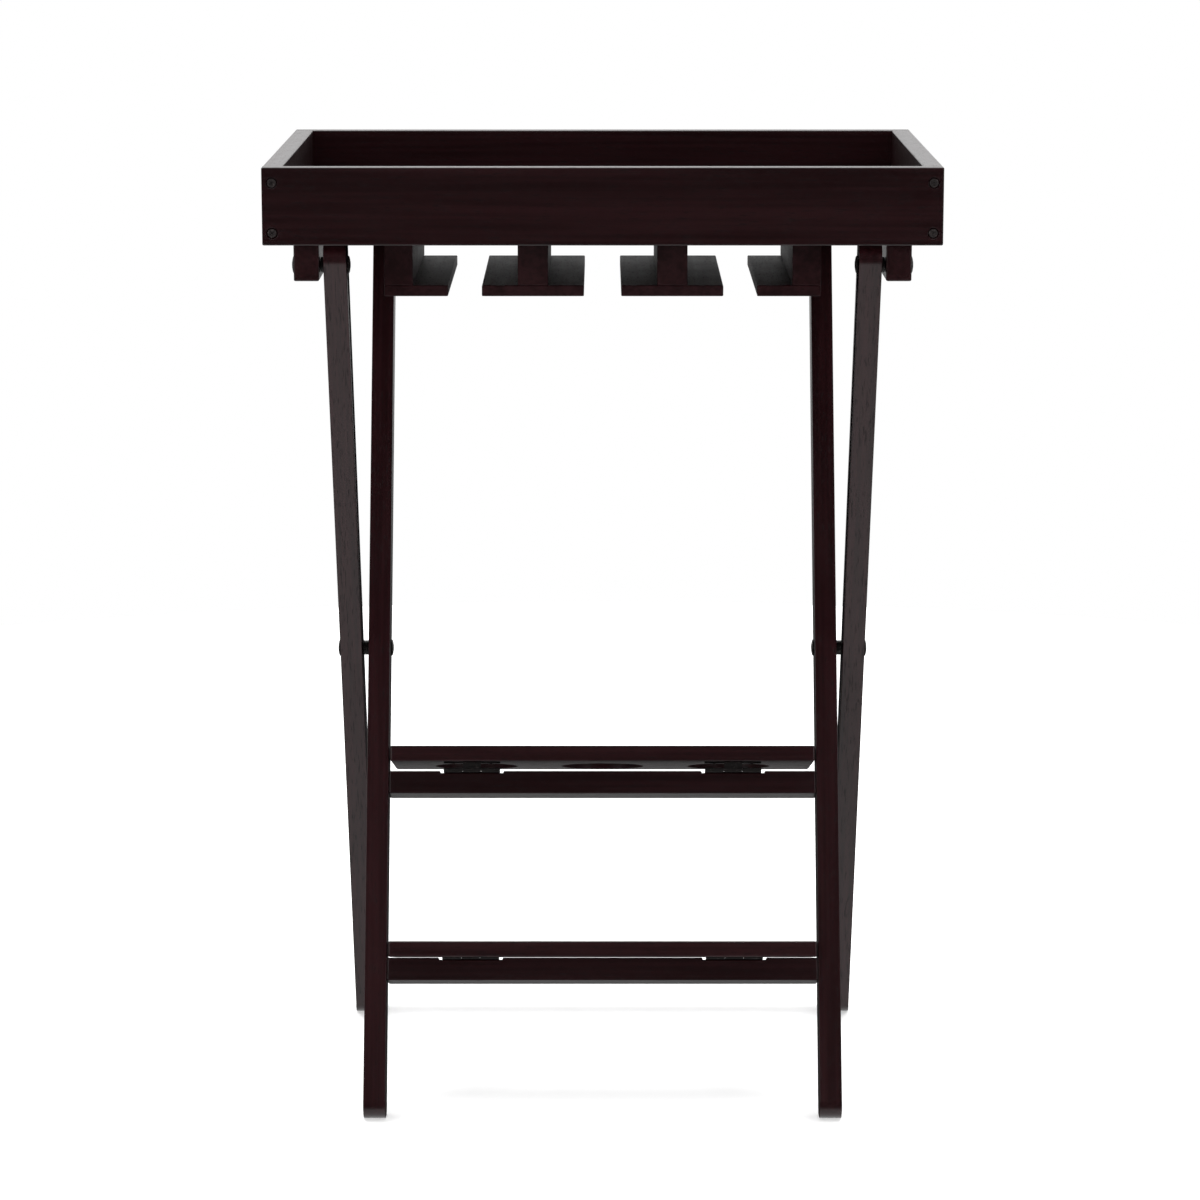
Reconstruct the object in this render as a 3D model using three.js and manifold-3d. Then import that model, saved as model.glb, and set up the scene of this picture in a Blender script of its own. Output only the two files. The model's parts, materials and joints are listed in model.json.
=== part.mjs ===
// Folding serving tray table: a rimmed tray on crossed legs, with a stemware rack under
// the tray and two hinged bottle shelves between the inner legs.
// Millimetres, +Z up, +X to the right, -Y is the front. The origin is on the floor,
// under the middle of the tray.
import * as THREE from "three";
import { mergeVertices } from "three/addons/utils/BufferGeometryUtils.js";
import Module from "manifold-3d";

// Tray
const TRAY_WIDTH = 610;
const TRAY_DEPTH = 420;
const TABLE_HEIGHT = 900;
const RIM_HEIGHT = 70;
const RAIL_THICKNESS = 14;
const SIDE_THICKNESS = 18;
const FLOOR_THICKNESS = 8;
const FLOOR_RECESS = 50; // from the top of the rim down to the tray floor
const CLEAT_WIDTH = 23;
const CLEAT_DROP = 35; // how far a cleat hangs below the rim
const CLEAT_OUTSIDE = 279;
const CLEAT_SETBACK = 24;

// Corner screws
const SCREW_FROM_TOP = 14;
const SCREW_FROM_BOTTOM = 11;
const SCREW_HEAD_RADIUS = 4.6;
const SCREW_HEAD_HEIGHT = 1.6;
const SCREW_SHANK_RADIUS = 1.9;
const SCREW_LENGTH = 38;
const SCREW_SINK = 2.4;
const SCREW_CUP_RADIUS = 5.2;

// Stemware rack
const RACK_FRONT = -100;
const RACK_BACK = 150;
const RACK_HALF_WIDTH = 202;
const FLANGE_THICKNESS = 10;
const FLANGE_BOTTOM = 771;
const EDGE_FLANGE_WIDTH = 59;
const EDGE_STEM_WIDTH = 26.5;
const MIDDLE_FLANGE_WIDTH = 94.5;
const MIDDLE_STEM_WIDTH = 28;
const MIDDLE_RAIL_CENTRE = 64.5;

// Crossed legs
const LEAN = THREE.MathUtils.degToRad(23); // each leg from the vertical
const LEG_THICKNESS = 21;
const LEG_WIDTH = 32;
const INNER_LEG_INSIDE = 204.5;
const OUTER_LEG_INSIDE = 231.5;
const CROSSING_HEIGHT = 417.5;
const FOOT_CENTRE_HEIGHT = 15.7; // a little under half a leg's width, so each foot has a flat
const TRAY_PIVOT_UP_LEG = 424.2; // from the crossing bolt, along the leg
const LEG_TOP_PAST_PIVOT = 8;
const RUNNER_WIDTH = 22;
const RUNNER_FRONT = -120;
const STOP_THICKNESS = 10.7;
const STOP_DROP = 18;

// Bolts and spacers
const BOLT_RADIUS = 3;
const BORE_RADIUS = 3.3;
const HEAD_RADIUS = 8;
const HEAD_HEIGHT = 2.4;
const SPACER_RADIUS = 7;
const FIT_GAP = 0.3;

// Bottle shelves and their crossbars, placed along the inner legs
const CROSSBAR_HEIGHT = 22;
const CROSSBAR_SETBACK = 0.5; // from the legs' front edges
const SHELF_DEPTH = 119;
const SHELF_THICKNESS = 15;
const SHELF_HALF_WIDTH = 203.2;
const BOTTLE_HOLE_DIAMETER = 80;
const BOTTLE_HOLE_SPACING = 122.5;
const BOTTLE_HOLE_FROM_FRONT = 72;
const OUTER_CROSSBAR_HEIGHT = 22;
const OUTER_CROSSBAR_THICKNESS = 13;
const SHELVES = [
  {
    name: "upper",
    crossbarTop: -123.2,
    pinRise: 0.5,
    tilt: 5.38,
    overhang: 6.36,
    seat: 8.23,
    mortise: 0,
    outerCrossbarTop: -174.7,
    holes: 3,
  },
  {
    name: "lower",
    crossbarTop: -302.4,
    pinRise: 0.5,
    tilt: 6.39,
    overhang: 7.17,
    seat: -0.2,
    mortise: 2.7,
    outerCrossbarTop: -413.5,
    holes: 0,
  },
];

// Butt hinges under the shelves
const HINGE_OFFSET = 125;
const HINGE_LENGTH = 54;
const NOTCH_LENGTH = 60;
const NOTCH_DEPTH = 2;
const PIN_FORWARD = -16.2; // just in front of the crossbar
const KNUCKLE_RADIUS = 2.2;
const PIN_BORE = 1.3;
const PIN_RADIUS = 1;
const LEAF_THICKNESS = 1.3;
const LEAF_WIDTH = 11;
const KNUCKLE_GAP = 0.4;

// Worked out from the above
const trayFront = -TRAY_DEPTH / 2;
const trayBack = TRAY_DEPTH / 2;
const rimBottom = TABLE_HEIGHT - RIM_HEIGHT;
const floorTop = TABLE_HEIGHT - FLOOR_RECESS;
const floorUnderside = floorTop - FLOOR_THICKNESS;
const sideInside = TRAY_WIDTH / 2 - SIDE_THICKNESS;
const legRadius = LEG_WIDTH / 2;
const innerLegOutside = INNER_LEG_INSIDE + LEG_THICKNESS;
const outerLegOutside = OUTER_LEG_INSIDE + LEG_THICKNESS;
const cleatInside = CLEAT_OUTSIDE - CLEAT_WIDTH;
const pivotY = -TRAY_PIVOT_UP_LEG * Math.sin(LEAN);
const pivotZ = CROSSING_HEIGHT + TRAY_PIVOT_UP_LEG * Math.cos(LEAN);
const footDownLeg = (CROSSING_HEIGHT - FOOT_CENTRE_HEIGHT) / Math.cos(LEAN);
const legTopUpLeg = TRAY_PIVOT_UP_LEG + LEG_TOP_PAST_PIVOT;
const legTopY = legTopUpLeg * Math.sin(LEAN);
const runnerBottom = pivotZ + LEG_TOP_PAST_PIVOT + legRadius + FIT_GAP;

const wasm = await Module();
wasm.setup();

const espresso = (color, roughness = 0.42) =>
  new THREE.MeshStandardMaterial({ color, roughness, metalness: 0 });
const trayWood = espresso(0x2b1517);
const legWood = espresso(0x33191b);
const shelfWood = espresso(0x34191c);
const blackSteel = new THREE.MeshStandardMaterial({
  color: 0x1d1b1c,
  roughness: 0.4,
  metalness: 0.85,
});

// A closed three.js geometry as a manifold solid, and back again.
function solidOf(geometry) {
  const bare = geometry.clone();
  bare.deleteAttribute("normal");
  bare.deleteAttribute("uv");
  const merged = mergeVertices(bare, 1e-4);
  return new wasm.Manifold(
    new wasm.Mesh({
      numProp: 3,
      vertProperties: new Float32Array(merged.attributes.position.array),
      triVerts: new Uint32Array(merged.index.array),
    }),
  );
}

function geometryOf(solid) {
  const mesh = solid.getMesh();
  const geometry = new THREE.BufferGeometry();
  geometry.setAttribute("position", new THREE.BufferAttribute(mesh.vertProperties, 3));
  geometry.setIndex(new THREE.BufferAttribute(mesh.triVerts, 1));
  geometry.computeVertexNormals();
  return geometry;
}

function block([x0, x1], [y0, y1], [z0, z1]) {
  const geometry = new THREE.BoxGeometry(x1 - x0, y1 - y0, z1 - z0);
  geometry.translate((x0 + x1) / 2, (y0 + y1) / 2, (z0 + z1) / 2);
  return solidOf(geometry);
}

// A turned solid lying along X. The profile lists [radius, x] pairs, from low x to high x.
function turned(profile, y = 0, z = 0, segments = 24) {
  const points = profile.map(([radius, x]) => new THREE.Vector2(radius, x));
  const geometry = new THREE.LatheGeometry(points, segments);
  geometry.rotateZ(-Math.PI / 2);
  geometry.translate(0, y, z);
  return solidOf(geometry);
}

function rod(radius, [x0, x1], y = 0, z = 0, segments = 24) {
  return turned([[0, x0], [radius, x0], [radius, x1], [0, x1]], y, z, segments);
}

// A tube along X.
function sleeve(outer, inner, [x0, x1], y = 0, z = 0) {
  return rod(outer, [x0, x1], y, z).subtract(rod(inner, [x0 - 1, x1 + 1], y, z));
}

// A low domed head whose flat side is at x, bulging towards the given side.
function domeHead(x, towards, y = 0, z = 0) {
  const steps = 5;
  const dome = [];
  for (let i = 0; i <= steps; i++) {
    const turn = (i / steps) * (Math.PI / 2);
    const rise = HEAD_HEIGHT * (0.25 + 0.75 * Math.sin(turn));
    dome.push([i === steps ? 0 : HEAD_RADIUS * Math.cos(turn), x + towards * rise]);
  }
  const profile = [[0, x], [HEAD_RADIUS, x], ...dome];
  return turned(towards > 0 ? profile : profile.reverse(), y, z);
}

function mirrored(solid, side) {
  return side > 0 ? solid : solid.mirror([1, 0, 0]);
}

const table = new THREE.Group();
const tray = new THREE.Group();
const innerFrame = new THREE.Group();
const outerFrame = new THREE.Group();
innerFrame.position.z = CROSSING_HEIGHT;
innerFrame.rotation.x = -LEAN;
outerFrame.position.z = CROSSING_HEIGHT;
outerFrame.rotation.x = LEAN;
table.add(tray, innerFrame, outerFrame);

function place(group, name, solid, material) {
  const mesh = new THREE.Mesh(geometryOf(solid), material);
  mesh.name = name;
  group.add(mesh);
}

const SIDES = [
  ["left", -1],
  ["right", 1],
];
const screwX = TRAY_WIDTH / 2 - SIDE_THICKNESS / 2;
const screwHeights = [
  ["upper", TABLE_HEIGHT - SCREW_FROM_TOP],
  ["lower", rimBottom + SCREW_FROM_BOTTOM],
];

// A countersunk screw along Y, its head facing -Y with the rail's outer face at y = 0.
function cornerScrew(clearance) {
  const head = SCREW_HEAD_RADIUS + clearance;
  const shank = SCREW_SHANK_RADIUS + clearance;
  const start = SCREW_SINK - SCREW_HEAD_HEIGHT;
  const profile = [
    new THREE.Vector2(0, start),
    new THREE.Vector2(head, start),
    new THREE.Vector2(head, SCREW_SINK + clearance),
    new THREE.Vector2(shank, SCREW_SINK + clearance + 2.5),
    new THREE.Vector2(shank, SCREW_LENGTH + clearance),
    new THREE.Vector2(0, SCREW_LENGTH + clearance),
  ];
  return solidOf(new THREE.LatheGeometry(profile, 20));
}

// The counterbored hole that a corner screw sits in.
function screwHole() {
  const cup = new THREE.CylinderGeometry(SCREW_CUP_RADIUS, SCREW_CUP_RADIUS, SCREW_SINK + 1, 20);
  cup.translate(0, (SCREW_SINK - 1) / 2, 0);
  return cornerScrew(FIT_GAP).add(solidOf(cup));
}

function atCorner(solid, side, end, z) {
  const facing = end < 0 ? solid : solid.rotate([0, 0, 180]);
  return facing.translate([side * screwX, end * (TRAY_DEPTH / 2), z]);
}

function cutScrewHoles(solid) {
  let cut = solid;
  for (const [, side] of SIDES) {
    for (const end of [-1, 1]) {
      for (const [, z] of screwHeights) cut = cut.subtract(atCorner(screwHole(), side, end, z));
    }
  }
  return cut;
}

function buildTray() {
  const rimSpan = [rimBottom, TABLE_HEIGHT];
  const fullWidth = [-TRAY_WIDTH / 2, TRAY_WIDTH / 2];
  const innerDepth = [trayFront + RAIL_THICKNESS, trayBack - RAIL_THICKNESS];
  const front = block(fullWidth, [trayFront, innerDepth[0]], rimSpan);
  const back = block(fullWidth, [innerDepth[1], trayBack], rimSpan);
  place(tray, "tray_front_rail", cutScrewHoles(front), trayWood);
  place(tray, "tray_back_rail", cutScrewHoles(back), trayWood);
  for (const [label, side] of SIDES) {
    const panel = mirrored(block([sideInside, TRAY_WIDTH / 2], innerDepth, rimSpan), side);
    place(tray, `tray_${label}_side`, cutScrewHoles(panel), trayWood);
  }
  const floor = block([-sideInside, sideInside], innerDepth, [floorUnderside, floorTop]);
  place(tray, "tray_floor", floor, trayWood);
  for (const [endLabel, end] of [["front", -1], ["back", 1]]) {
    for (const [label, side] of SIDES) {
      for (const [height, z] of screwHeights) {
        const screw = atCorner(cornerScrew(0), side, end, z);
        place(tray, `${endLabel}_${label}_${height}_screw`, screw, blackSteel);
      }
    }
  }
}

// The cleats carry the pivot bolts; the runners are what the inner legs' tops slide along.
function buildCleatsAndRunners() {
  const cleatEnds = [trayFront + CLEAT_SETBACK, trayBack - CLEAT_SETBACK];
  const runnerInside = INNER_LEG_INSIDE + (LEG_THICKNESS - RUNNER_WIDTH) / 2;
  const runnerSpan = [runnerInside, runnerInside + RUNNER_WIDTH];
  const stopFront = legTopY + legRadius + FIT_GAP;
  const runnerEnd = trayBack - RAIL_THICKNESS;
  for (const [label, side] of SIDES) {
    const cleatHeight = [rimBottom - CLEAT_DROP, floorUnderside];
    const cleat = block([cleatInside, CLEAT_OUTSIDE], cleatEnds, cleatHeight).subtract(
      rod(BORE_RADIUS, [cleatInside - 1, CLEAT_OUTSIDE + 1], pivotY, pivotZ),
    );
    place(tray, `${label}_cleat`, mirrored(cleat, side), trayWood);
    const strip = block(runnerSpan, [RUNNER_FRONT, runnerEnd], [runnerBottom, floorUnderside]);
    const stop = block(runnerSpan, [stopFront, runnerEnd], [rimBottom - STOP_DROP, floorUnderside]);
    place(tray, `${label}_runner`, mirrored(strip.add(stop), side), trayWood);
  }
}

function buildStemwareRack() {
  const flangeTop = FLANGE_BOTTOM + FLANGE_THICKNESS;
  const length = [RACK_FRONT, RACK_BACK];
  const rails = [
    {
      name: "edge",
      flange: [RACK_HALF_WIDTH - EDGE_FLANGE_WIDTH, RACK_HALF_WIDTH],
      stem: [RACK_HALF_WIDTH - EDGE_STEM_WIDTH, RACK_HALF_WIDTH],
    },
    {
      name: "middle",
      flange: [
        MIDDLE_RAIL_CENTRE - MIDDLE_FLANGE_WIDTH / 2,
        MIDDLE_RAIL_CENTRE + MIDDLE_FLANGE_WIDTH / 2,
      ],
      stem: [MIDDLE_RAIL_CENTRE - MIDDLE_STEM_WIDTH / 2, MIDDLE_RAIL_CENTRE + MIDDLE_STEM_WIDTH / 2],
    },
  ];
  for (const [label, side] of SIDES) {
    for (const { name, flange, stem } of rails) {
      const stemSolid = block(stem, length, [flangeTop, floorUnderside]);
      const flangeSolid = block(flange, length, [FLANGE_BOTTOM, flangeTop]);
      place(tray, `${label}_${name}_rack_stem`, mirrored(stemSolid, side), trayWood);
      place(tray, `${label}_${name}_rack_flange`, mirrored(flangeSolid, side), trayWood);
    }
  }
}

// A leg's outline in its own frame: round at both ends, with a small flat on the floor.
// tilt is 1 for a leg whose foot is in front, -1 for a leg whose foot is behind.
function legOutline(tilt) {
  const down = -Math.PI / 2 + tilt * LEAN;
  const halfFlat = Math.acos(FOOT_CENTRE_HEIGHT / legRadius);
  const outline = new THREE.Shape();
  outline.absarc(0, legTopUpLeg, legRadius, 0, Math.PI, false);
  outline.absarc(0, -footDownLeg, legRadius, -Math.PI, down - halfFlat, false);
  outline.absarc(0, -footDownLeg, legRadius, down + halfFlat, 0, false);
  return outline;
}

function legBlank(tilt, inside) {
  const geometry = new THREE.ExtrudeGeometry(legOutline(tilt), {
    depth: LEG_THICKNESS,
    bevelEnabled: false,
    curveSegments: 14,
  });
  const toLegFrame = new THREE.Matrix4().makeBasis(
    new THREE.Vector3(0, 1, 0),
    new THREE.Vector3(0, 0, 1),
    new THREE.Vector3(1, 0, 0),
  );
  geometry.applyMatrix4(toLegFrame);
  geometry.translate(inside, 0, 0);
  return solidOf(geometry);
}

function buildLegs() {
  const through = (inside, z) => rod(BORE_RADIUS, [inside - 1, inside + LEG_THICKNESS + 1], 0, z);
  for (const [label, side] of SIDES) {
    const inner = legBlank(1, INNER_LEG_INSIDE).subtract(through(INNER_LEG_INSIDE, 0));
    place(innerFrame, `${label}_inner_leg`, mirrored(inner, side), legWood);
    const outer = legBlank(-1, OUTER_LEG_INSIDE)
      .subtract(through(OUTER_LEG_INSIDE, 0))
      .subtract(through(OUTER_LEG_INSIDE, TRAY_PIVOT_UP_LEG));
    place(outerFrame, `${label}_outer_leg`, mirrored(outer, side), legWood);
  }
}

// A bolt with a domed head at each end, and the spacer on it.
function buildBolts() {
  for (const [label, side] of SIDES) {
    const crossing = rod(BOLT_RADIUS, [INNER_LEG_INSIDE - 1, outerLegOutside + 1])
      .add(domeHead(INNER_LEG_INSIDE - FIT_GAP, -1))
      .add(domeHead(outerLegOutside + FIT_GAP, 1));
    place(innerFrame, `${label}_crossing_bolt`, mirrored(crossing, side), blackSteel);
    const between = [innerLegOutside + FIT_GAP, OUTER_LEG_INSIDE - FIT_GAP];
    const crossingSpacer = sleeve(SPACER_RADIUS, BORE_RADIUS, between);
    place(innerFrame, `${label}_crossing_spacer`, mirrored(crossingSpacer, side), blackSteel);

    const pivotBolt = rod(BOLT_RADIUS, [OUTER_LEG_INSIDE - 1, CLEAT_OUTSIDE + 1], pivotY, pivotZ)
      .add(domeHead(OUTER_LEG_INSIDE - FIT_GAP, -1, pivotY, pivotZ))
      .add(domeHead(CLEAT_OUTSIDE + FIT_GAP, 1, pivotY, pivotZ));
    place(table, `${label}_tray_pivot_bolt`, mirrored(pivotBolt, side), blackSteel);
    const gap = [outerLegOutside + FIT_GAP, cleatInside - FIT_GAP];
    const pivotSpacer = sleeve(SPACER_RADIUS, BORE_RADIUS, gap, pivotY, pivotZ);
    place(table, `${label}_tray_pivot_spacer`, mirrored(pivotSpacer, side), blackSteel);
  }
}

// A third of the hinge's knuckle, or its two outer thirds.
function knuckles(middle) {
  const third = HINGE_LENGTH / 3;
  const half = HINGE_LENGTH / 2;
  const spans = middle
    ? [[-third / 2 + KNUCKLE_GAP, third / 2 - KNUCKLE_GAP]]
    : [[-half, -third / 2], [third / 2, half]];
  return spans.map((span) => rod(KNUCKLE_RADIUS, span, 0, 0, 16));
}

// A hinge leaf whose plate's outer face is at height face, above or below the pin.
function hingeLeaf(face, middle) {
  const half = HINGE_LENGTH / 2;
  const plate = [face - Math.sign(face) * LEAF_THICKNESS, face].sort((a, b) => a - b);
  const web = [Math.min(0, face), Math.max(0, face)];
  const ends = knuckles(middle).reduce((joined, knuckle) => joined.add(knuckle));
  const webHalf = LEAF_THICKNESS / 2;
  const third = HINGE_LENGTH / 6 - KNUCKLE_GAP;
  const webs = middle
    ? [[-third, third]]
    : [[-half, -HINGE_LENGTH / 6], [HINGE_LENGTH / 6, half]];
  let leaf = block([-half, half], [KNUCKLE_RADIUS + FIT_GAP, LEAF_WIDTH], plate).add(ends);
  for (const span of webs) {
    leaf = leaf
      .add(block(span, [-webHalf, webHalf], web))
      .add(block(span, [-webHalf, KNUCKLE_RADIUS + 1], plate));
  }
  return leaf.subtract(rod(PIN_BORE, [-half - 1, half + 1], 0, 0, 16));
}

function buildShelf(shelf) {
  const { name, crossbarTop, outerCrossbarTop } = shelf;
  const barSpan = [FIT_GAP - INNER_LEG_INSIDE, INNER_LEG_INSIDE - FIT_GAP];
  const barDepth = [CROSSBAR_SETBACK - legRadius, legRadius - FIT_GAP];
  let bar = block(barSpan, barDepth, [crossbarTop - CROSSBAR_HEIGHT, crossbarTop]);
  for (const [, side] of SIDES) {
    const centre = side * HINGE_OFFSET;
    const notchSpan = [centre - NOTCH_LENGTH / 2, centre + NOTCH_LENGTH / 2];
    const notchDepth = [-LEG_WIDTH, LEG_WIDTH];
    const notchHeight = [crossbarTop - NOTCH_DEPTH, crossbarTop + NOTCH_DEPTH];
    bar = bar.subtract(block(notchSpan, notchDepth, notchHeight));
  }
  place(innerFrame, `${name}_inner_crossbar`, bar, legWood);

  const outerDepth = [legRadius + FIT_GAP, legRadius + FIT_GAP + OUTER_CROSSBAR_THICKNESS];
  const outerSpan = [-outerLegOutside, outerLegOutside];
  const outerBar = [outerCrossbarTop - OUTER_CROSSBAR_HEIGHT, outerCrossbarTop];
  place(outerFrame, `${name}_outer_crossbar`, block(outerSpan, outerDepth, outerBar), legWood);

  // Everything that turns with the shelf is drawn about the hinge pin.
  const swing = new THREE.Group();
  swing.position.set(0, PIN_FORWARD, crossbarTop + shelf.pinRise);
  swing.rotation.x = THREE.MathUtils.degToRad(shelf.tilt);
  innerFrame.add(swing);
  const length = [-shelf.overhang, SHELF_DEPTH - shelf.overhang];
  const height = [shelf.seat, shelf.seat + SHELF_THICKNESS];
  let board = block([-SHELF_HALF_WIDTH, SHELF_HALF_WIDTH], length, height);
  const holeCentre = BOTTLE_HOLE_FROM_FRONT - shelf.overhang;
  for (let i = 0; i < shelf.holes; i++) {
    const drill = new THREE.CylinderGeometry(
      BOTTLE_HOLE_DIAMETER / 2,
      BOTTLE_HOLE_DIAMETER / 2,
      4 * SHELF_THICKNESS,
      48,
    );
    drill.rotateX(Math.PI / 2);
    drill.translate((i - (shelf.holes - 1) / 2) * BOTTLE_HOLE_SPACING, holeCentre, shelf.seat);
    board = board.subtract(solidOf(drill));
  }
  for (const [label, side] of SIDES) {
    const centre = side * HINGE_OFFSET;
    const leafFace = shelf.seat + shelf.mortise - FIT_GAP / 2;
    const frameLeafFace = -NOTCH_DEPTH - shelf.pinRise + FIT_GAP / 2;
    if (shelf.mortise) {
      const mortiseSpan = [centre - HINGE_LENGTH / 2 - 1, centre + HINGE_LENGTH / 2 + 1];
      const mortiseDepth = [-KNUCKLE_RADIUS - 1, LEAF_WIDTH + 1];
      const mortiseHeight = [shelf.seat - 1, shelf.seat + shelf.mortise];
      board = board.subtract(block(mortiseSpan, mortiseDepth, mortiseHeight));
    }
    const shelfLeaf = hingeLeaf(leafFace, true).translate([centre, 0, 0]);
    place(swing, `${name}_${label}_hinge_shelf_leaf`, shelfLeaf, blackSteel);
    const pinHeight = crossbarTop + shelf.pinRise;
    const frameLeaf = hingeLeaf(frameLeafFace, false).translate([centre, PIN_FORWARD, pinHeight]);
    place(innerFrame, `${name}_${label}_hinge_frame_leaf`, frameLeaf, blackSteel);
    const pinSpan = [centre - HINGE_LENGTH / 2, centre + HINGE_LENGTH / 2];
    const pin = rod(PIN_RADIUS, pinSpan, PIN_FORWARD, pinHeight, 12);
    place(innerFrame, `${name}_${label}_hinge_pin`, pin, blackSteel);
  }
  place(swing, `${name}_bottle_shelf`, board, shelfWood);
}

buildTray();
buildCleatsAndRunners();
buildStemwareRack();
buildLegs();
buildBolts();
for (const shelf of SHELVES) buildShelf(shelf);

export default table;
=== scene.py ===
import json
import math

import bmesh
import bpy
from mathutils import Matrix, Vector


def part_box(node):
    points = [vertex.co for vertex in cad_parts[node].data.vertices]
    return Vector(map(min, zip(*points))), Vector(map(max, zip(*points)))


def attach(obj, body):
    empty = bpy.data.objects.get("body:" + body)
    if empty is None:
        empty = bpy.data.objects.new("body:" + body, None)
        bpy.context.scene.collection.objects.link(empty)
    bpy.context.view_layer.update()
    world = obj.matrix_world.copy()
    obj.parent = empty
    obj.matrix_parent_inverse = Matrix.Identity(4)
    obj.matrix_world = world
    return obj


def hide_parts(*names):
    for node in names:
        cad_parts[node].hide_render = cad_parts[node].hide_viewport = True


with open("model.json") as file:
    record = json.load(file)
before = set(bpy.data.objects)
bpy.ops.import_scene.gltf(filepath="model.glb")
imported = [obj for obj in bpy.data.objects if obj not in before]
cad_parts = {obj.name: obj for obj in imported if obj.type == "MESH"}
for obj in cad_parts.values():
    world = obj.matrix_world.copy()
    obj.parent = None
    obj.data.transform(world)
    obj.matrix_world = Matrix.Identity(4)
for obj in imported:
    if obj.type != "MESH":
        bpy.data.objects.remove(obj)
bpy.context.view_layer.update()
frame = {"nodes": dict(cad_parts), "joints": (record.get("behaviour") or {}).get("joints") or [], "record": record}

# The studio. A long lens looks down a little from the front, over a pale floor that is bright
# round the table. A wide softbox hangs overhead, a smaller one stands at each side, and a fill
# light in front is kept out of reflections. The room is lit from behind and below and is dark
# behind the camera, so the lacquer shines only where it faces the light.
CAMERA_BACK = 3.785
CAMERA_RISE = 1.2225
CAMERA_SHIFT_LEFT = 0.0024
CAMERA_PITCH_DOWN = 0.1977
FOCAL_LENGTH_MM = 120
FLOOR_RADIUS = 2.3
ROOM_DARK = 0.03
ROOM_BRIGHT = 0.85
FLOOR_GLOW = 0.35


class Wire:
    """An output of a node. Python arithmetic on it adds Math nodes."""

    def __init__(self, graph, socket):
        self.graph, self.socket = graph, socket

    def maths(self, operation, *values):
        return self.graph.add("ShaderNodeMath", {"operation": operation}, dict(enumerate(values)))

    def __add__(self, other):
        return self.maths("ADD", self, other)

    __radd__ = __add__

    def __sub__(self, other):
        return self.maths("SUBTRACT", self, other)

    def __rsub__(self, other):
        return self.maths("SUBTRACT", other, self)

    def __mul__(self, other):
        return self.maths("MULTIPLY", self, other)

    __rmul__ = __mul__

    def ramp(self, low, high):
        """0 below low and 1 above high, with a smooth rise between them."""
        settings = {"interpolation_type": "SMOOTHSTEP"}
        values = {"Value": self, "From Min": low, "From Max": high}
        return self.graph.add("ShaderNodeMapRange", settings, values)


class Graph:
    """A node tree, built one node at a time."""

    def __init__(self, tree):
        self.tree = tree

    def add(self, kind, settings=None, values=None, output=0):
        node = self.tree.nodes.new(kind)
        for name, value in (settings or {}).items():
            setattr(node, name, value)
        for name, value in (values or {}).items():
            if isinstance(value, Wire):
                self.tree.links.new(value.socket, node.inputs[name])
            else:
                node.inputs[name].default_value = value
        return Wire(self, node.outputs[output]) if len(node.outputs) else None

    def mix(self, share, first, second):
        """A colour from first, where share is 0, to second, where it is 1."""
        values = {0: share, 6: first, 7: second}
        return self.add("ShaderNodeMix", {"data_type": "RGBA"}, values, output=2)


def new_object(name, data):
    thing = bpy.data.objects.new(name, data)
    bpy.context.scene.collection.objects.link(thing)
    return thing


def principled(name, **values):
    """A new material with one Principled shader, and the graph that holds both."""
    material = bpy.data.materials.new(name)
    material.use_nodes = True
    material.node_tree.nodes.clear()
    graph = Graph(material.node_tree)
    shader = graph.add("ShaderNodeBsdfPrincipled", None, values)
    graph.add("ShaderNodeOutputMaterial", None, {"Surface": shader})
    return material, graph, shader.socket.node


camera = new_object("camera", bpy.data.cameras.new("camera"))
camera.data.lens = FOCAL_LENGTH_MM
camera.location = (-CAMERA_SHIFT_LEFT, -CAMERA_BACK, CAMERA_RISE)
camera.rotation_euler = (math.pi / 2 - CAMERA_PITCH_DOWN, 0, 0)
bpy.context.scene.camera = camera
bpy.context.scene.view_settings.view_transform = "Standard"


def softbox(name, watts, width, height, place, aim, mirrored=True):
    light = new_object(name, bpy.data.lights.new(name, "AREA"))
    light.data.shape = "RECTANGLE"
    light.data.size = width
    light.data.size_y = height
    light.data.energy = watts
    light.location = place
    light.rotation_euler = (Vector(aim) - Vector(place)).to_track_quat("-Z", "Y").to_euler()
    light.visible_glossy = mirrored


softbox("overhead_softbox", 330, 6.0, 6.0, (0, 1.2, 4.2), (0, 0.4, 0))
softbox("front_fill", 150, 3.0, 2.0, (0, -4.5, 1.6), (0, 0, 0.5), mirrored=False)
softbox("left_softbox", 16, 0.8, 1.8, (-2.4, -2.0, 1.4), (0, 0, 0.5))
softbox("right_softbox", 14, 0.8, 1.8, (2.4, -2.0, 1.4), (0, 0, 0.5))


def light_the_room():
    """The room is white to the eye, and lights the table mostly from behind and below."""
    world = bpy.data.worlds.new("studio")
    world.use_nodes = True
    world.node_tree.nodes.clear()
    graph = Graph(world.node_tree)
    heading = graph.add("ShaderNodeTexCoord", output="Generated")
    split = graph.add("ShaderNodeSeparateXYZ", None, {"Vector": heading})
    parts = split.socket.node.outputs
    height = Wire(graph, parts["Z"])
    behind = Wire(graph, parts["Y"]).ramp(-0.1, 0.75) * height.ramp(-0.22, -0.04)
    beneath = 1 - height.ramp(-0.78, -0.46)
    glow = ROOM_DARK + (ROOM_BRIGHT - ROOM_DARK) * (behind + beneath)
    seen = graph.add("ShaderNodeLightPath", output="Is Camera Ray")
    brightness = seen + (1 - seen) * glow
    background = graph.add(
        "ShaderNodeBackground", None, {"Color": (1, 1, 1, 1), "Strength": brightness}
    )
    graph.add("ShaderNodeOutputWorld", None, {"Surface": background})
    bpy.context.scene.world = world


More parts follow.
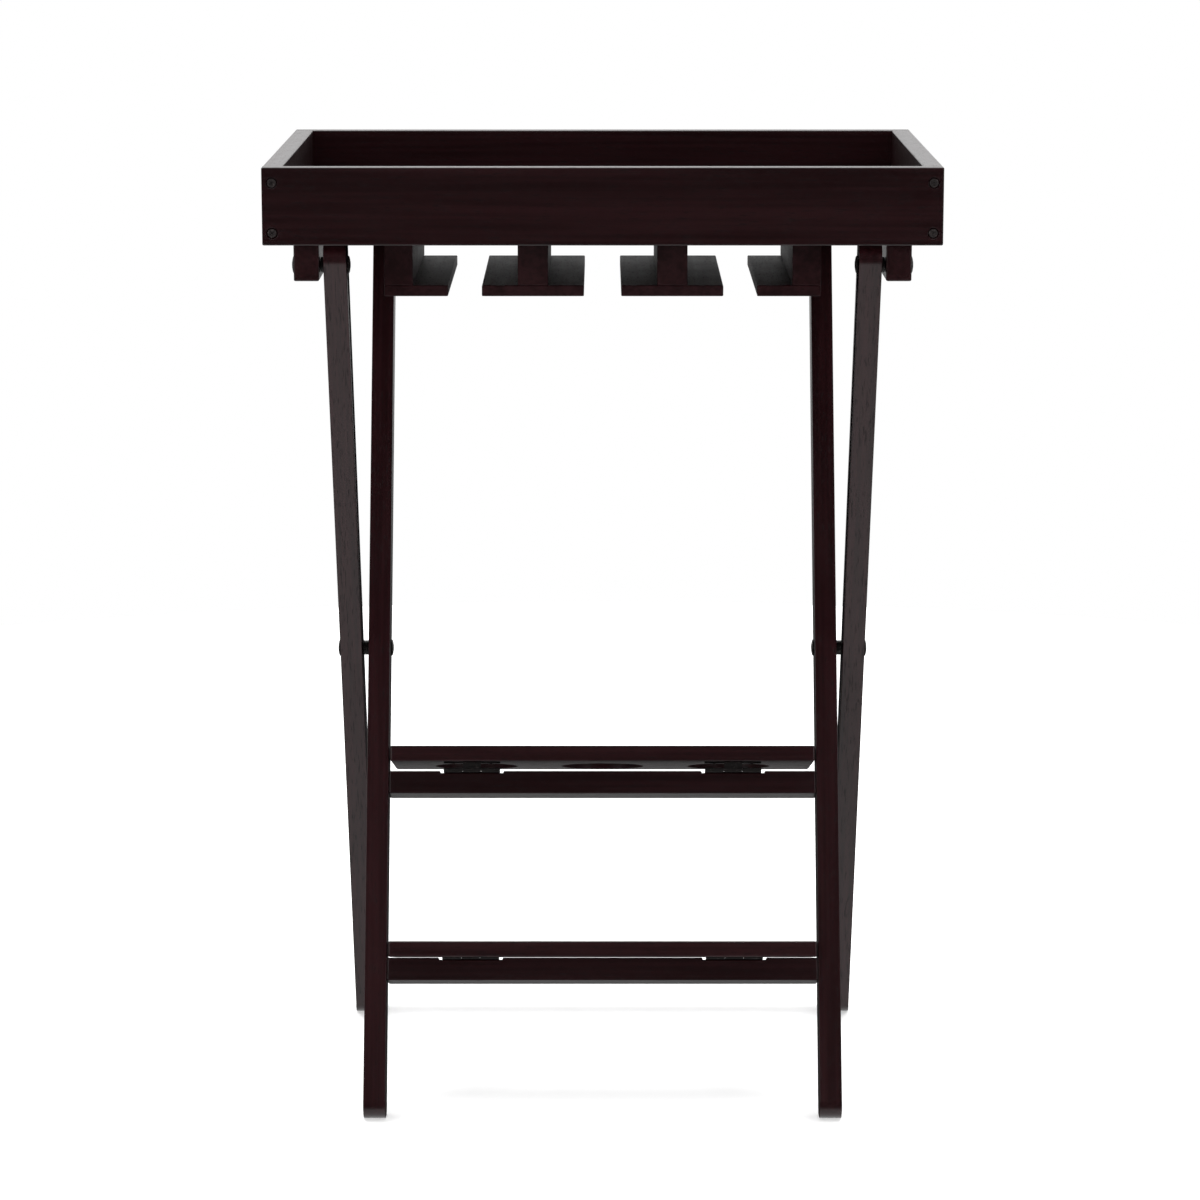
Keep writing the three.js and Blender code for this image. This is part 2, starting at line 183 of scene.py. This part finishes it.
def lay_floor():
    paper, graph, shader = principled("floor_paper", Roughness=0.9)
    shader.inputs["Specular IOR Level"].default_value = 0.0
    shader.inputs["Emission Color"].default_value = (1, 1, 1, 1)
    shader.inputs["Emission Strength"].default_value = FLOOR_GLOW
    place = graph.add("ShaderNodeTexCoord", output="Object")
    fibre = graph.add("ShaderNodeTexNoise", None, {"Vector": place, "Scale": 180.0, "Detail": 3.0})
    colour = graph.mix(fibre, (0.93, 0.93, 0.93, 1), (0.95, 0.95, 0.95, 1))
    graph.tree.links.new(colour.socket, shader.inputs["Base Color"])
    disc = bmesh.new()
    bmesh.ops.create_circle(disc, cap_ends=True, segments=96, radius=FLOOR_RADIUS)
    mesh = bpy.data.meshes.new("floor")
    disc.to_mesh(mesh)
    mesh.materials.append(paper)
    floor = new_object("floor", mesh)
    floor.visible_glossy = False


light_the_room()
lay_floor()

# The tray's rim: a front and a back rail as long as the tray, and two end panels between them.
# Stained hardwood boards under semi-gloss lacquer, their arrises broken with sandpaper before
# they were stained, so each one carries a thin line of light.
body_of = {}
for body, members in frame["record"]["behaviour"]["bodies"].items():
    for member in members:
        body_of[member] = body
SHARP = math.radians(30)
SKIN = 2e-5
WELD = 2e-6
FLAT = math.radians(0.3)
SMALL_BORE_STEP = 0.0018
SMALL_BORE_SHARE = 0.3
X, Y, Z = 0, 1, 2


def settled(rough, name):
    """The evaluated shape as a plain mesh object, in place of the one that carried modifiers."""
    evaluated = rough.evaluated_get(bpy.context.evaluated_depsgraph_get())
    mesh = bpy.data.meshes.new_from_object(evaluated)
    mesh.name = name
    bpy.data.objects.remove(rough)
    return new_object(name, mesh)


def fit(piece, material, slot, *nodes):
    """Gives a piece its finish, and puts it on the body of the CAD nodes that it stands for."""
    piece.data.materials.clear()
    piece.data.materials.append(material)
    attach(piece, body_of[nodes[0]])
    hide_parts(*nodes)
    return piece


def eased(node, name, radius, turn=0.0, segments=3):
    """A copy of a CAD node with the arrises of its outer faces rounded.

    turn is the angle about X of the frame in which its faces are square.
    """
    shell = bmesh.new()
    shell.from_mesh(frame["nodes"][node].data)
    bmesh.ops.remove_doubles(shell, verts=shell.verts, dist=WELD)
    bmesh.ops.dissolve_limit(shell, angle_limit=FLAT, verts=shell.verts, edges=shell.edges)
    upright = Matrix.Rotation(-turn, 3, "X")
    place = {vertex: upright @ vertex.co for vertex in shell.verts}
    walls = [
        (axis, limit(point[axis] for point in place.values()))
        for axis in (X, Y, Z)
        for limit in (min, max)
    ]
    weight = shell.edges.layers.float.new("bevel_weight_edge")
    for edge in shell.edges:
        if not edge.is_manifold or edge.calc_face_angle() < SHARP:
            continue
        edge.smooth = False
        outer = any(
            all(abs(place[vertex][axis] - wall) < SKIN for vertex in edge.verts)
            for axis, wall in walls
        )
        if edge.is_convex and outer:
            edge[weight] = 1.0 if edge.calc_length() > SMALL_BORE_STEP else SMALL_BORE_SHARE
            edge.smooth = True
    for face in shell.faces:
        face.smooth = True
    mesh = bpy.data.meshes.new(name)
    shell.to_mesh(mesh)
    shell.free()
    rough = new_object(name + "_rough", mesh)
    rounding = rough.modifiers.new("arris", "BEVEL")
    rounding.limit_method = "WEIGHT"
    rounding.width = radius
    rounding.segments = segments
    rounding.use_clamp_overlap = False
    flatten = rough.modifiers.new("flatten", "WEIGHTED_NORMAL")
    flatten.keep_sharp = True
    flatten.weight = 100
    return settled(rough, name)


def grain(graph, axis, turn, across, along, detail=2.0, distortion=0.0):
    """Noise drawn out along the wood's grain. Sizes are of its blotches, in metres."""
    sizes = [across, across, across]
    sizes[axis] = along
    place = graph.add("ShaderNodeTexCoord", output="Object")
    turned = graph.add(
        "ShaderNodeMapping",
        {"vector_type": "TEXTURE"},
        {"Vector": place, "Rotation": (turn, 0, 0), "Scale": sizes},
    )
    return graph.add(
        "ShaderNodeTexNoise",
        None,
        {"Vector": turned, "Scale": 1.0, "Detail": detail, "Distortion": distortion},
    )


STAIN = ((0.0080, 0.0014, 0.0019), (0.0160, 0.0036, 0.0046))


def stained_wood(name, axis, turn=0.0, roughness=0.36, coat=0.5, shade=1.0):
    """Hardwood stained a dark wine brown: broad figure, fine streaks, and small dark pores.

    shade scales the stain's colour: above 1 a lighter copy of the wood, below 1 a darker one. The crossbars'
    darker copy is painted shade.
    """
    material, graph, shader = principled(name)
    shader.inputs["Specular IOR Level"].default_value = 0.25
    shader.inputs["Coat Roughness"].default_value = 0.14
    shader.inputs["Coat IOR"].default_value = 1.5
    figure = grain(graph, axis, turn, 0.03, 0.45, detail=2.0, distortion=0.6)
    streak = grain(graph, axis, turn, 0.0035, 0.2, detail=4.0)
    fleck = grain(graph, axis, turn, 0.0009, 0.011, detail=1.0)
    rub = grain(graph, axis, turn, 0.012, 0.03, detail=2.0)
    depth = (0.45 * figure + 0.55 * streak).ramp(0.36, 0.64)
    dark, light = ([shade * share for share in tint] + [1] for tint in STAIN)
    stain = graph.mix(depth, dark, light)
    pores = 1 - fleck.ramp(0.30, 0.40)
    colour = graph.mix(pores * 0.75, stain, (0.0040, 0.0011, 0.0014, 1))
    dullness = roughness + 0.10 * (streak - 0.5) + 0.12 * (rub - 0.5) + 0.15 * pores
    relief = 0.35 * streak - 1.0 * pores + 0.25 * rub
    bump = graph.add(
        "ShaderNodeBump", None, {"Strength": 0.35, "Distance": 0.00025, "Height": relief}
    )
    lacquer = coat - 0.5 * coat * pores
    for socket, wire in (
        ("Base Color", colour),
        ("Roughness", dullness),
        ("Coat Weight", lacquer),
        ("Normal", bump),
    ):
        graph.tree.links.new(wire.socket, shader.inputs[socket])
    return material


grain_across = stained_wood("wine_stain_rim_across", X, shade=0.74)
grain_deep = stained_wood("wine_stain_rim_deep", Y, shade=0.9)
RIM_ARRIS = 0.0014
for node in ("tray_front_rail", "tray_back_rail"):
    rail = eased(node, node.replace("tray_", "") + "_board", RIM_ARRIS)
    fit(rail, grain_across, "tray_wood", node)
for side in ("left", "right"):
    node = f"tray_{side}_side"
    panel = eased(node, f"{side}_end_board", RIM_ARRIS)
    fit(panel, grain_deep, "tray_wood", node)

# The tray's floor: one thin veneered panel held inside the rim, with a groove of shadow round
# it where it meets the boards.
FLOOR_ARRIS = 0.0006
panel = eased("tray_floor", "tray_floor_panel", FLOOR_ARRIS)
fit(panel, grain_across, "tray_wood", "tray_floor")

# Under the floor run two pairs of strips: the outer cleats, which carry the pivot bolts, and
# the inner runners, which the tops of the inner legs slide along and stop against.
CLEAT_ARRIS = 0.0018
RUNNER_ARRIS = 0.0006
for side in ("left", "right"):
    cleat = eased(f"{side}_cleat", f"{side}_cleat_strip", CLEAT_ARRIS)
    fit(cleat, grain_deep, "rack_wood", f"{side}_cleat")
    runner = eased(f"{side}_runner", f"{side}_runner_strip", RUNNER_ARRIS)
    fit(runner, grain_deep, "rack_wood", f"{side}_runner")

# The stemware rack: four rails glued under the tray floor, each an upright stem with a flat
# flange along its foot. Upside-down glasses slide in with their feet on the flanges.
RACK_ARRIS = 0.0010
rack_finish = stained_wood("wine_stain_rack_satin", Y, roughness=0.55, coat=0.0)
for side in ("left", "right"):
    for rail in ("edge", "middle"):
        for part in ("stem", "flange"):
            node = f"{side}_{rail}_rack_{part}"
            strip = eased(node, f"{side}_{rail}_glass_{part}", RACK_ARRIS)
            fit(strip, rack_finish, "rack_wood", node)

# The legs: two pairs of flat bars with full round ends, crossed and bolted. The inner pair
# lean back from the front feet, the outer pair lean forward from the back feet.
crossing, level = frame["joints"][:2]
cross_at = Vector(crossing["pos_m"])
pivot_at = Vector(level["pos_m"])
LEAN = math.atan2(cross_at.y - pivot_at.y, pivot_at.z - cross_at.z)
LEG_ARRIS = 0.0016
turn_of = {"inner": -LEAN, "outer": LEAN}
leg_wood = {
    pair: stained_wood(f"wine_stain_{pair}_legs", Z, turn)
    for pair, turn in turn_of.items()
}
for pair, turn in turn_of.items():
    for side in ("left", "right"):
        node = f"{side}_{pair}_leg"
        leg = eased(node, f"{side}_{pair}_leg_bar", LEG_ARRIS, turn)
        fit(leg, leg_wood[pair], "leg_wood", node)

# The crossbars tie each pair of legs together. The inner ones are housed between the legs, and
# have two shallow notches each for the shelf hinges; the outer ones lie on the legs' back edges.
crossbar_arris = {"inner": 0.0015, "outer": 0.0038}
# Painted shade: the crossbars' wood is darkened to 0.66 of the stain colour, to stand for the shade under the
# shelf boards.
crossbar_painted_shade_wood = stained_wood("wine_stain_crossbars", X, shade=0.66)
for pair, turn in turn_of.items():
    for level_name in ("upper", "lower"):
        node = f"{level_name}_{pair}_crossbar"
        bar = eased(node, f"{level_name}_{pair}_tie_bar", crossbar_arris[pair], turn, 4)
        fit(bar, crossbar_painted_shade_wood, "leg_wood", node)

# The bottle shelves: boards that sit on their hinges just above the inner crossbars and slope
# down to the back. The upper one has three round holes that bottles stand through.
SHELF_ARRIS = 0.0020


def lie_of(board):
    """The angle about X of the longest line across a board's end.

    That is the end's diagonal, so it reads about 7 degrees less than the board's true slope.
    """
    mesh = frame["nodes"][board].data
    lengths = [
        mesh.vertices[edge.vertices[1]].co - mesh.vertices[edge.vertices[0]].co
        for edge in mesh.edges
    ]
    square = [run for run in lengths if abs(run.x) < SKIN]
    longest = max(square, key=lambda run: abs(run.y) if abs(run.z) < abs(run.y) / 2.2 else 0)
    return math.atan(longest.z / longest.y)


shelf_finish = stained_wood("wine_stain_shelves", X)
slope_of = {}
for level_name in ("upper", "lower"):
    node = f"{level_name}_bottle_shelf"
    slope_of[level_name] = lie_of(node)
    board = eased(node, f"{level_name}_shelf_board", SHELF_ARRIS, slope_of[level_name], 4)
    fit(board, shelf_finish, "shelf_wood", node)

# Blackened steel: the bolts, screws and hinges. It is a thin dark coating with a little oil on
# it, rubbed lighter in places, and slightly pitted.
BLACKING = ((0.028, 0.023, 0.023), (0.085, 0.070, 0.068))


def black_steel(name, shade):
    material, graph, shader = principled(name, Metallic=0.6)
    shader.inputs["Coat Weight"].default_value = 0.15
    shader.inputs["Coat Roughness"].default_value = 0.25
    place = graph.add("ShaderNodeTexCoord", output="Object")
    cloud = graph.add("ShaderNodeTexNoise", None, {"Vector": place, "Scale": 420.0, "Detail": 4.0})
    pits = graph.add("ShaderNodeTexNoise", None, {"Vector": place, "Scale": 2600.0, "Detail": 2.0})
    rubbed = cloud.ramp(0.52, 0.72)
    dark, light = ([shade * share for share in tint] + [1] for tint in BLACKING)
    colour = graph.mix(rubbed, dark, light)
    dullness = 0.46 - 0.16 * rubbed + 0.12 * pits
    bump = graph.add(
        "ShaderNodeBump", None, {"Strength": 0.25, "Distance": 0.0001, "Height": pits}
    )
    for socket, wire in (("Base Color", colour), ("Roughness", dullness), ("Normal", bump)):
        graph.tree.links.new(wire.socket, shader.inputs[socket])
    return material


steel = black_steel("blackened_steel", 0.35)
screw_steel = black_steel("worn_screw_steel", 1.0)

# The crossing bolts and the tray's pivot bolts: each is a shaft with a wide, low domed head at
# either end, and a hexagon socket in each head. A round spacer keeps the bars apart.
DOME_RISE = 0.0024
HEAD_RADIUS = 0.0080
SOCKET_FLATS = 0.0050
SOCKET_DEPTH = 0.0019
HEAD_CHAMFER = 0.0002
SHAFT_RADIUS = 0.0030
TURNED_SIDES = 48
SPACER_ARRIS = 0.0005


def turned(name, rings, centre):
    """A solid turned about an axis along X. Each ring is (distance out at an angle, x)."""
    lathe = bmesh.new()
    loops = []
    for reach, x in rings:
        loop = []
        for step in range(TURNED_SIDES):
            angle = step * 2 * math.pi / TURNED_SIDES
            out = reach(angle) if callable(reach) else reach
            point = (x, centre.y + out * math.cos(angle), centre.z + out * math.sin(angle))
            loop.append(lathe.verts.new(point))
        loops.append(loop)
    for low, high in zip(loops, loops[1:]):
        for step in range(TURNED_SIDES):
            after = (step + 1) % TURNED_SIDES
            lathe.faces.new((low[step], low[after], high[after], high[step]))
    lathe.faces.new(loops[0])
    lathe.faces.new(loops[-1])
    bmesh.ops.recalc_face_normals(lathe, faces=lathe.faces)
    for face in lathe.faces:
        face.smooth = True
    for edge in lathe.edges:
        edge.smooth = edge.calc_face_angle() < SHARP
    mesh = bpy.data.meshes.new(name)
    lathe.to_mesh(mesh)
    lathe.free()
    return new_object(name, mesh)


def hexagon(angle):
    """The distance out to the wall of the hexagon socket."""
    sector = math.pi / 3
    return SOCKET_FLATS / 2 / math.cos(angle % sector - sector / 2)


def head_rings(flat, outward):
    """The rings of a domed head, from the bottom of its socket to its shaft."""
    tip = flat + outward * DOME_RISE
    rings = [(hexagon, tip - outward * depth) for depth in (SOCKET_DEPTH, HEAD_CHAMFER)]
    rings.append((lambda angle: hexagon(angle) + HEAD_CHAMFER, tip))
    for share in (0.45, 0.62, 0.76, 0.87, 0.95, 0.99, 1.0):
        rise = 0.3 + 0.7 * math.sqrt(1 - share**2)
        rings.append((HEAD_RADIUS * share, flat + outward * DOME_RISE * rise))
    rings.append((HEAD_RADIUS - HEAD_CHAMFER, flat))
    rings.append((SHAFT_RADIUS, flat))
    return rings


for kind, centre in (("crossing", cross_at), ("tray_pivot", pivot_at)):
    for side in ("left", "right"):
        node = f"{side}_{kind}_bolt"
        low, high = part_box(node)
        near = head_rings(low.x + DOME_RISE, -1)
        far = head_rings(high.x - DOME_RISE, 1)
        bolt = turned(f"{side}_{kind}_socket_bolt", near + far[::-1], centre)
        fit(bolt, steel, "black_steel", node)
        node = f"{side}_{kind}_spacer"
        spacer = eased(node, f"{side}_{kind}_collar", SPACER_ARRIS)
        fit(spacer, steel, "black_steel", node)

# The shelf hinges: two small butt hinges under each board, one leaf on the board and the other
# in the crossbar's notch, folded round a pin with domed ends.
LEAF_ARRIS = 0.00025
PIN_RADIUS = 0.0010
PIN_DOME = 0.0003
PIN_END_SHARE = 0.6
shelf_joints = {"upper": frame["joints"][3], "lower": frame["joints"][4]}
for level_name, joint in shelf_joints.items():
    pin_at = Vector(joint["pos_m"])
    for side in ("left", "right"):
        stem = f"{level_name}_{side}_hinge"
        leaf = eased(f"{stem}_frame_leaf", f"{stem}_bar_plate", LEAF_ARRIS, -LEAN, 2)
        fit(leaf, steel, "black_steel", f"{stem}_frame_leaf")
        slope = slope_of[level_name]
        leaf = eased(f"{stem}_shelf_leaf", f"{stem}_board_plate", LEAF_ARRIS, slope, 2)
        fit(leaf, steel, "black_steel", f"{stem}_shelf_leaf")
        low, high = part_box(f"{stem}_pin")
        rings = [
            (PIN_RADIUS * PIN_END_SHARE, low.x),
            (PIN_RADIUS, low.x + PIN_DOME),
            (PIN_RADIUS, high.x - PIN_DOME),
            (PIN_RADIUS * PIN_END_SHARE, high.x),
        ]
        fit(turned(f"{stem}_rivet", rings, pin_at), steel, "black_steel", f"{stem}_pin")

# Crosshead screws: two at each corner of the rim, sunk in shallow cups, and three in each hinge
# leaf. One tree makes the screw and drives a copy into every marked place.
SCREW_INPUTS = {
    "Head Radius": 0.0040,
    "Head Height": 0.0016,
    "Crown": 0.0005,
    "Shank Radius": 0.0019,
    "Length": 0.0356,
    "Recess Reach": 0.0025,
    "Recess Width": 0.0010,
}
SCREW_SIDES = 32
SHANK_FLARE = 1.02


def screw_tree():
    tree = bpy.data.node_groups.new("crosshead_screws", "GeometryNodeTree")
    keys = {}
    tree.interface.new_socket("Geometry", in_out="INPUT", socket_type="NodeSocketGeometry")
    for label, size in SCREW_INPUTS.items():
        socket = tree.interface.new_socket(label, in_out="INPUT", socket_type="NodeSocketFloat")
        socket.default_value = size
        keys[label] = socket.identifier
    seed = tree.interface.new_socket("Seed", in_out="INPUT", socket_type="NodeSocketInt")
    keys["Seed"] = seed.identifier
    tree.interface.new_socket("Geometry", in_out="OUTPUT", socket_type="NodeSocketGeometry")
    graph = Graph(tree)
    given = graph.add("NodeGroupInput").socket.node.outputs
    size = {label: Wire(graph, given[label]) for label in SCREW_INPUTS}

    def vector(x, y, z):
        return graph.add("ShaderNodeCombineXYZ", None, {"X": x, "Y": y, "Z": z})

    def moved(shape, **values):
        return graph.add("GeometryNodeTransform", None, {"Geometry": shape, **values})

    def combined(operation, first, others):
        settings = {"operation": operation, "solver": "EXACT"}
        node = graph.add("GeometryNodeMeshBoolean", settings).socket.node
        inputs = node.inputs
        if first:
            tree.links.new(first.socket, inputs["Mesh 1"])
        for other in others:
            tree.links.new(other.socket, inputs["Mesh 2"])
        return Wire(graph, node.outputs["Mesh"])

    ball = graph.add(
        "GeometryNodeMeshUVSphere",
        None,
        {"Segments": SCREW_SIDES, "Rings": 16, "Radius": 1.0},
    )
    crown = moved(ball, Scale=vector(size["Head Radius"], size["Head Radius"], size["Crown"]))
    head = graph.add(
        "GeometryNodeMeshCone",
        None,
        {
            "Vertices": SCREW_SIDES,
            "Radius Top": size["Head Radius"],
            "Radius Bottom": size["Shank Radius"] * SHANK_FLARE,
            "Depth": size["Head Height"],
        },
    )
    head = moved(head, Translation=vector(0.0, 0.0, size["Head Height"] * -1.0))
    shank = graph.add(
        "GeometryNodeMeshCylinder",
        None,
        {"Vertices": SCREW_SIDES, "Radius": size["Shank Radius"], "Depth": size["Length"]},
    )
    drop = (size["Length"] * 0.5 + size["Head Height"] * 0.5) * -1.0
    shank = moved(shank, Translation=vector(0.0, 0.0, drop))
    blank = combined("UNION", None, [crown, head, shank])
    reach = size["Recess Reach"] * 2.0
    deep = size["Head Height"] + size["Crown"]
    slots = []
    for quarter in (0, math.pi / 2):
        slot = graph.add(
            "GeometryNodeMeshCube", None, {"Size": vector(reach, size["Recess Width"], deep)}
        )
        lift_slot = vector(0.0, 0.0, size["Crown"] * 0.5)
        slots.append(moved(slot, Rotation=(0, 0, quarter), Translation=lift_slot))
    screw = combined("DIFFERENCE", blank, slots)
    screw = graph.add("GeometryNodeSetShadeSmooth", None, {"Geometry": screw})
    bend = graph.add("GeometryNodeInputMeshEdgeAngle")
    crease = graph.add(
        "FunctionNodeCompare", {"operation": "GREATER_THAN"}, {"A": bend, "B": SHARP}
    )
    screw = graph.add(
        "GeometryNodeSetShadeSmooth",
        {"domain": "EDGE"},
        {"Geometry": screw, "Selection": crease, "Shade Smooth": False},
    )
    facing = graph.add(
        "GeometryNodeInputNamedAttribute", {"data_type": "FLOAT_VECTOR"}, {"Name": "facing"}
    )
    aimed = graph.add("FunctionNodeAlignRotationToVector", {"axis": "Z"}, {"Vector": facing})
    stop = graph.add(
        "FunctionNodeRandomValue",
        {"data_type": "FLOAT"},
        {2: 0.0, 3: math.pi, "Seed": Wire(graph, given["Seed"])},
        output=1,
    )
    twist = graph.add("FunctionNodeEulerToRotation", None, {"Euler": vector(0.0, 0.0, stop)})
    aimed = graph.add(
        "FunctionNodeRotateRotation",
        {"rotation_space": "LOCAL"},
        {"Rotation": aimed, "Rotate By": twist},
    )
    driven = graph.add(
        "GeometryNodeInstanceOnPoints",
        None,
        {"Points": Wire(graph, given["Geometry"]), "Instance": screw, "Rotation": aimed},
    )
    real = graph.add("GeometryNodeRealizeInstances", None, {"Geometry": driven})
    real = graph.add(
        "GeometryNodeSetMaterial", None, {"Geometry": real, "Material": screw_steel}
    )
    graph.add("NodeGroupOutput", None, {"Geometry": real})
    return tree, keys


screws_tree, screw_keys = screw_tree()


def drive(name, places, seed, **sizes):
    """One mesh of screws. Each place is the point under its head's crown, and where it faces."""
    mesh = bpy.data.meshes.new(name)
    mesh.from_pydata([place for place, _ in places], [], [])
    facing = mesh.attributes.new("facing", "FLOAT_VECTOR", "POINT")
    for mark, (_, towards) in zip(facing.data, places):
        mark.vector = towards
    rough = new_object(name + "_rough", mesh)
    drive_in = rough.modifiers.new("screws", "NODES")
    drive_in.node_group = screws_tree
    drive_in[screw_keys["Seed"]] = seed
    for label, size in SCREW_INPUTS.items():
        drive_in[screw_keys[label]] = sizes.get(label.replace(" ", "_").lower(), size)
    return settled(rough, name)


corner_nodes = [node for node in frame["nodes"] if node.endswith("_screw")]
corners = []
for node in corner_nodes:
    low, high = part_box(node)
    middle = (low + high) / 2
    out = -1 if middle.y < 0 else 1
    face = low.y if out < 0 else high.y
    corners.append((Vector((middle.x, face, middle.z)), Vector((0, out, 0))))
screws = drive("corner_screws", corners, 4)
fit(screws, screw_steel, "black_steel", *corner_nodes)

LEAF_SCREW = {
    "head_radius": 0.0021,
    "head_height": 0.0009,
    "crown": 0.00015,
    "shank_radius": 0.0009,
    "length": 0.010,
    "recess_reach": 0.0012,
    "recess_width": 0.00045,
}
SCREW_PITCH = 0.018
KNUCKLE_SIDE = 0.0025
CLEAR_OF_KNUCKLE = KNUCKLE_SIDE * 1.5


def leaf_places(node, pin_at, turn, outward):
    """Three screw places along a leaf's exposed face, midway between its knuckle and its edge."""
    upright = Matrix.Rotation(-turn, 3, "X")
    points = [upright @ (vertex.co - pin_at) for vertex in frame["nodes"][node].data.vertices]
    plate = [point for point in points if point.y > CLEAR_OF_KNUCKLE]
    face = (max if outward > 0 else min)(point.z for point in plate)
    edge = max(point.y for point in plate)
    centre = (min(point.x for point in points) + max(point.x for point in points)) / 2
    back = Matrix.Rotation(turn, 3, "X")
    return [
        (
            pin_at + back @ Vector((centre + step * SCREW_PITCH, (KNUCKLE_SIDE + edge) / 2, face)),
            back @ Vector((0, 0, outward)),
        )
        for step in (-1, 0, 1)
    ]


frame_screws = []
for level_name, joint in shelf_joints.items():
    pin_at = Vector(joint["pos_m"])
    board_screws = []
    for side in ("left", "right"):
        stem = f"{level_name}_{side}_hinge"
        frame_screws += leaf_places(f"{stem}_frame_leaf", pin_at, -LEAN, 1)
        slope = slope_of[level_name]
        board_screws += leaf_places(f"{stem}_shelf_leaf", pin_at, slope, -1)
    screws = drive(f"{level_name}_board_plate_screws", board_screws, 7, **LEAF_SCREW)
    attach(screws, f"{level_name}_shelf")
screws = drive("bar_plate_screws", frame_screws, 9, **LEAF_SCREW)
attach(screws, "inner_frame")
